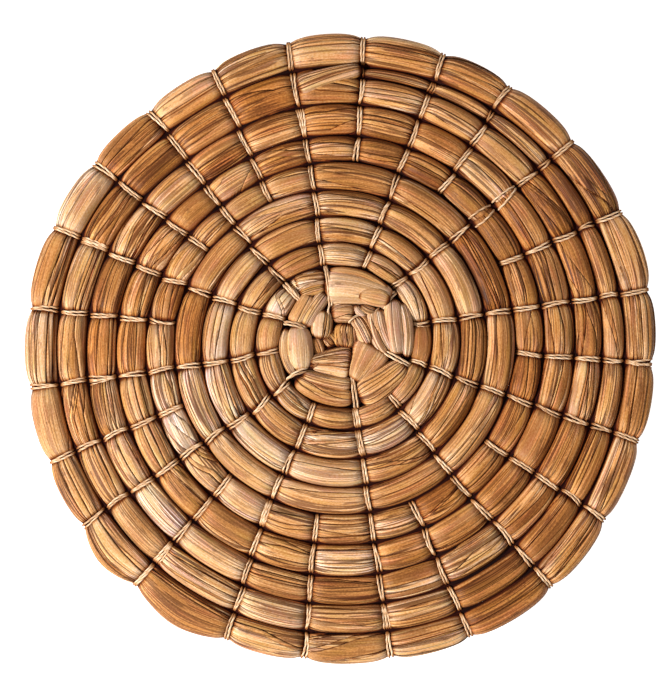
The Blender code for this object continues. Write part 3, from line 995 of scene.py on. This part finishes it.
class Shading:
    """A new material, with short calls for the nodes that feed its shader."""

    def __init__(self, name):
        self.material = bpy.data.materials.new(name)
        self.material.use_nodes = True
        self.nodes = self.material.node_tree.nodes
        self.links = self.material.node_tree.links
        self.nodes.clear()
        self.shader = self.nodes.new("ShaderNodeBsdfPrincipled")
        output = self.nodes.new("ShaderNodeOutputMaterial")
        self.links.new(self.shader.outputs["BSDF"], output.inputs["Surface"])

    def feed(self, socket, value):
        """Sets a number or a colour on the socket itself, or links a node's output to it."""
        if isinstance(value, (int, float)):
            socket.default_value = value
        elif isinstance(value, tuple):
            socket.default_value = (*value, 1.0)
        else:
            self.links.new(value, socket)

    def surface(self, values):
        for name, value in values.items():
            self.feed(self.shader.inputs[name], value)

    def bump(self, height, strength, distance):
        node = self.nodes.new("ShaderNodeBump")
        node.inputs["Strength"].default_value = strength
        node.inputs["Distance"].default_value = distance
        self.links.new(height, node.inputs["Height"])
        self.links.new(node.outputs["Normal"], self.shader.inputs["Normal"])

    def attribute(self, name):
        node = self.nodes.new("ShaderNodeAttribute")
        node.attribute_name = name
        return node.outputs["Fac"]

    def leaf_map(self):
        node = self.nodes.new("ShaderNodeUVMap")
        node.uv_map = "leaf"
        return node.outputs["UV"]

    def maths(self, operation, *values, clamp=False):
        node = self.nodes.new("ShaderNodeMath")
        node.operation = operation
        node.use_clamp = clamp
        for socket, value in zip(node.inputs, values):
            self.feed(socket, value)
        return node.outputs[0]

    def times(self, first, second, clamp=False):
        return self.maths("MULTIPLY", first, second, clamp=clamp)

    def minus(self, first, second, clamp=False):
        return self.maths("SUBTRACT", first, second, clamp=clamp)

    def larger(self, first, second):
        return self.maths("MAXIMUM", first, second)

    def scaled(self, value, scale, offset, clamp=False):
        """The value times the scale, plus the offset."""
        return self.maths("MULTIPLY_ADD", value, scale, offset, clamp=clamp)

    def stepped(self, value, low, high):
        """0 up to low, 1 from high, straight between them."""
        scale = 1.0 / (high - low)
        return self.scaled(value, scale, -low * scale, clamp=True)

    def ramp(self, value, stops):
        node = self.nodes.new("ShaderNodeValToRGB")
        elements = node.color_ramp.elements
        for position, _ in stops[1:-1]:
            elements.new(position)
        for element, (position, colour) in zip(elements, stops):
            element.position = position
            element.color = (*colour, 1.0)
        self.links.new(value, node.inputs["Fac"])
        return node.outputs["Color"]

    def mix(self, share, first, second, blend="MIX"):
        node = self.nodes.new("ShaderNodeMix")
        node.data_type = "RGBA"
        node.blend_type = blend
        for place, value in ((0, share), (6, first), (7, second)):
            self.feed(node.inputs[place], value)
        return node.outputs[2]

    def tinted(self, colour, tint):
        return self.mix(1.0, colour, tint, "MULTIPLY")

    def reddened(self, colour, shade):
        """The colour in this shade, which turns to deep red-brown as it darkens."""
        joined = self.nodes.new("ShaderNodeCombineColor")
        for channel, power in enumerate(REDDENING_POWERS):
            self.links.new(self.maths("POWER", shade, power), joined.inputs[channel])
        return self.tinted(colour, joined.outputs["Color"])

    def streaks(self, flat, kind):
        mapping = self.nodes.new("ShaderNodeMapping")
        mapping.inputs["Scale"].default_value = (kind.along, kind.across, 1.0)
        self.links.new(flat, mapping.inputs["Vector"])
        noise = self.nodes.new("ShaderNodeTexNoise")
        noise.noise_dimensions = "2D"
        noise.inputs["Scale"].default_value = 1.0
        noise.inputs["Detail"].default_value = kind.detail
        noise.inputs["Roughness"].default_value = kind.rough
        self.links.new(mapping.outputs["Vector"], noise.inputs["Vector"])
        return noise.outputs["Fac"]

    def thin_lines(self, flat, kind, reach, beside):
        """0 on thin lines along the leaf and 1 off them, and then 1 on a painted highlight line beside
        each.
        """
        wave = self.streaks(flat, kind)
        off = self.maths("ABSOLUTE", self.minus(wave, 0.5))
        off_beside = self.maths("ABSOLUTE", self.minus(wave, 0.5 + beside))
        return self.stepped(off, reach * 0.3, reach), self.stepped(off_beside, reach, reach * 0.3)


def leaf_tone(leaf, flat, veins, tie, lively):
    """The leaf's own tone with bands, veins and grain, and a painted highlight on the shoulder beside a
    stitch.
    """
    bands = leaf.stepped(veins, 0.43, 0.57)
    marks = leaf.scaled(veins, 0.6, leaf.scaled(bands, 0.26, -0.93))
    marks = leaf.times(leaf.maths("ADD", leaf.streaks(flat, BROAD_BANDS), marks), lively)
    tone = leaf.scaled(marks, 0.52, leaf.attribute("tone"))
    tone = leaf.scaled(leaf.minus(leaf.streaks(flat, GRAIN), 0.5), 0.45, tone)
    shoulder = leaf.times(tie, leaf.minus(1.0, tie))
    return leaf.scaled(shoulder, 0.60, tone, clamp=True)


def leaf_colour(leaf, flat, tone, hue):
    """The colour of this tone, more orange where the leaf is warm, with olive and pink parts and stains."""
    colour = leaf.ramp(tone, LEAF_COLOURS)
    colour = leaf.mix(leaf.attribute("warmth"), colour, leaf.tinted(colour, ORANGE))
    colour = leaf.mix(leaf.stepped(hue, 0.54, 0.72), colour, leaf.tinted(colour, OLIVE))
    colour = leaf.mix(leaf.stepped(hue, 0.46, 0.28), colour, leaf.tinted(colour, PINK))
    spots = leaf.stepped(leaf.streaks(flat, STAINS), 0.64, 0.70)
    return leaf.mix(leaf.times(spots, 0.45), colour, STAIN_COLOUR)


def leaf_lines(leaf, flat, hue, tie, calm, lively):
    """1 on painted highlights, which are pale lines and the edges of creases, and then 1 where the leaf is
    clear of cracks.
    """
    cracks, crack_highlights = leaf.thin_lines(flat, CRACKS, 0.052, 0.080)
    hairs, hair_highlights = leaf.thin_lines(flat, HAIRS, 0.080, 0.13)
    quiet = leaf.stepped(hue, 0.45, 0.53)
    hair_highlights = leaf.times(hair_highlights, leaf.minus(0.8, quiet, clamp=True))
    line_highlights = leaf.times(leaf.larger(crack_highlights, hair_highlights), lively)
    # Painted highlights: pale streaks, the lines beside the dark ones, and the edges of creases.
    pale = leaf.times(leaf.stepped(leaf.streaks(flat, HIGHLIGHT_STREAKS), 0.59, 0.66), lively)
    crease = leaf.attribute("crease")
    edge = leaf.times(leaf.stepped(crease, 0.42, 0.58), 0.6)
    edge = leaf.times(edge, leaf.minus(1.0, leaf.stepped(crease, 0.72, 0.92)))
    pale = leaf.larger(leaf.larger(pale, line_highlights), edge)
    cracks = leaf.times(cracks, leaf.scaled(leaf.larger(hairs, quiet), 0.74, 0.26))
    wedge = leaf.scaled(tie, -0.20, leaf.streaks(flat, CRACK_ENDS))
    cracks = leaf.times(cracks, leaf.stepped(wedge, 0.21, 0.28))
    cracks = leaf.larger(cracks, leaf.times(calm, 0.72))
    return pale, leaf.scaled(cracks, 0.90, 0.10)


def leaf_shade(leaf, veins, tie):
    """How light the leaf is: darker in creases, in necks and deep in the grooves."""
    edge = leaf.scaled(tie, -0.30, leaf.attribute("crease"))
    frayed = leaf.scaled(veins, 1.1, leaf.minus(edge, 0.50))
    crease = leaf.stepped(frayed, 0.00, 0.36)
    painted_neck_shade = leaf.scaled(leaf.stepped(tie, 0.50, 0.74), -0.85, 1.0, clamp=True)
    clear_of_groove_shade = leaf.minus(1.0, leaf.maths("POWER", leaf.attribute("low"), 0.8))
    return leaf.larger(leaf.times(leaf.times(crease, painted_neck_shade), clear_of_groove_shade, clamp=True), 0.015)


def leaf_material():
    """Dried seagrass: each leaf has its own tone, straight veins along it and stains, with painted
    highlights and painted shade in its creases, necks and grooves.
    """
    leaf = Shading("seagrass_leaf")
    flat = leaf.leaf_map()
    veins = leaf.streaks(flat, VEINS)
    hue = leaf.streaks(flat, HUES)
    tie = leaf.attribute("tie")
    calm = leaf.attribute("calm")
    lively = leaf.scaled(calm, -0.85, 1.0)
    colour = leaf_colour(leaf, flat, leaf_tone(leaf, flat, veins, tie, lively), hue)
    pale, clear = leaf_lines(leaf, flat, hue, tie, calm, lively)
    # Painted highlights, and then the leaf's dark lines.
    colour = leaf.mix(pale, colour, leaf.tinted(colour, HIGHLIGHT_TINT))
    colour = leaf.mix(clear, leaf.tinted(colour, DARK_LINE), colour)
    shade = leaf_shade(leaf, veins, tie)
    roughness = leaf.scaled(veins, 0.30, 0.34)
    roughness = leaf.scaled(leaf.minus(1.0, shade), 0.5, roughness, clamp=True)
    colour = leaf.reddened(colour, shade)
    leaf.surface({"Base Color": colour, "Roughness": roughness, "Specular IOR Level": 0.15})
    leaf.bump(leaf.scaled(leaf.streaks(flat, FINE_RIBS), 0.22, leaf.times(clear, 0.5)), 0.9, 0.0008)
    return leaf.material


def twine_material():
    """Pale two-ply twine with loose fibres, painted shade in the grooves between its plies, and painted
    shade deep in the mat's grooves.
    """
    twine = Shading("straw_twine")
    fibres = twine.streaks(twine.leaf_map(), TWINE_FIBRES)
    tone = twine.scaled(twine.attribute("tone"), 0.4, twine.scaled(fibres, 1.3, -0.35))
    plies = twine.maths("POWER", twine.attribute("crease"), 0.40)
    shade = twine.times(plies, twine.minus(1.0, twine.attribute("low")), clamp=True)
    colour = twine.reddened(twine.ramp(tone, TWINE_COLOURS), twine.larger(shade, 0.05))
    twine.surface({"Base Color": colour, "Roughness": 0.78, "Specular IOR Level": 0.12})
    twine.bump(fibres, 0.6, 0.0004)
    return twine.material


def show(name, leaves, strands, node, materials):
    """A piece of leaf in place of its solid, and the twine on it."""
    piece = leaves.finish(name, materials[0])
    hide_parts(node)
    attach(piece, "root")
    threads = strands.finish(name + "_twine", materials[1])
    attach(threads, "root")


def add_round(name, stitches, edges, outer_pinch, node, materials):
    """The pillows between these stitches as one piece, and the twine of all stitches but the last."""
    pillows, strands = Cloth(), Cloth()
    for start, end in zip(stitches, stitches[1:]):
        add_pillow(pillows, start, end, edges, outer_pinch)
    if stitches[0] == TAIL_START:
        add_lump(pillows, TAIL_LUMP)
    for turn in stitches[:-1]:
        if turn == TAIL_START:
            continue
        count = 4 if rng.random() < DOUBLE_STITCH_CHANCE else 2
        parting = parting_at(turn)
        add_stitch(strands, neck_tie(turn, edges, outer_pinch), 2 if parting else count, parting)
    show(name, pillows, strands, node, materials)


def add_middle(stitches, materials):
    """The lumps of the middle and their stitches, over the bed."""
    leaves, strands = Cloth(), Cloth()
    for start, end in zip(stitches, stitches[1:]):
        add_pillow(leaves, start, end, coil_edges, SIDE_PINCH, bed=True)
    for lump in LUMPS:
        add_lump(leaves, lump)
    for stitch in CORE_STITCHES:
        first, last = np.array([stitch.x1, stitch.y1]), np.array([stitch.x2, stitch.y2])
        half = np.hypot(*(last - first)) / 2
        middle, way = EYE + (first + last) / 2, (last - first) / (2 * half)
        tie = Tie(middle, way, half, stitch.height, NECK_LIFT, CORE_STITCH_THICKNESS)
        add_stitch(strands, tie, stitch.strands)
    show("coil_middle", leaves, strands, "coil", materials)


def add_mat():
    materials = (leaf_material(), twine_material())
    rim = [turn_of(line.rim, 0) for line in STITCH_LINES]
    closed_rim = rim + [rim[0] + 1.0]
    add_round("rim_round", closed_rim, rim_edges, RIM_OUTER_PINCH, "rim", materials)
    stitches = [TAIL_START] + coil_stitches() + [COIL_END]
    outer = [turn for turn in stitches if turn < MIDDLE_START]
    for whole in range(LONG_LINE_TURNS):
        first = [turn for turn in outer if whole <= turn < whole + 1 or (whole == 0 and turn < 0)]
        later = [turn for turn in outer if turn >= whole + 1]
        name = f"coil_turn_{whole + 1}"
        add_round(name, first + later[:1], coil_edges, SIDE_PINCH, "coil", materials)
    add_middle(outer[-1:] + [turn for turn in stitches if turn > outer[-1]], materials)


def add_floor():
    """A plain pale floor well past the view."""
    mesh = bpy.data.meshes.new("floor")
    square = ((-1.0, -1.0), (1.0, -1.0), (1.0, 1.0), (-1.0, 1.0))
    corners = [(x * FLOOR_HALF, y * FLOOR_HALF, -FLOOR_DROP) for x, y in square]
    mesh.from_pydata(corners, [], [(0, 1, 2, 3)])
    paint = Shading("pale_floor")
    paint.surface({"Base Color": (0.70, 0.70, 0.70), "Roughness": 0.9})
    paint.surface({"Emission Color": (1.0, 1.0, 1.0), "Emission Strength": 0.90})
    mesh.materials.append(paint.material)
    floor = bpy.data.objects.new("floor", mesh)
    bpy.context.scene.collection.objects.link(floor)


def add_lights():
    """Area lamps aimed at the mat, and an even pale sky."""
    for lamp in LAMPS:
        light = bpy.data.lights.new(lamp.name, "AREA")
        light.shape = "SQUARE"
        light.size = lamp.size
        light.energy = lamp.watts
        light.color = lamp.colour
        thing = bpy.data.objects.new(lamp.name, light)
        thing.location = lamp.place
        bpy.context.scene.collection.objects.link(thing)
        thing.rotation_euler = (-thing.location).to_track_quat("-Z", "Y").to_euler()
    world = bpy.data.worlds.new("studio")
    world.use_nodes = True
    background = world.node_tree.nodes["Background"]
    background.inputs["Color"].default_value = (1.0, 1.0, 1.0, 1.0)
    background.inputs["Strength"].default_value = SKY_STRENGTH
    bpy.context.scene.world = world
    bpy.context.scene.view_settings.view_transform = "Standard"


def add_camera():
    """Straight above, framed as the photograph."""
    lens = bpy.data.cameras.new("camera")
    lens.lens = LENS_MM
    lens.sensor_width = SENSOR_MM
    camera = bpy.data.objects.new("camera", lens)
    distance = max(FRAME_WIDTH, FRAME_HEIGHT) * PIXEL_MM * LENS_MM / SENSOR_MM
    camera.location = (VIEW_CENTRE[0] * MM, VIEW_CENTRE[1] * MM, (distance + CROWN_HEIGHT / 2) * MM)
    bpy.context.scene.collection.objects.link(camera)
    bpy.context.scene.camera = camera


add_mat()
add_floor()
add_lights()
add_camera()
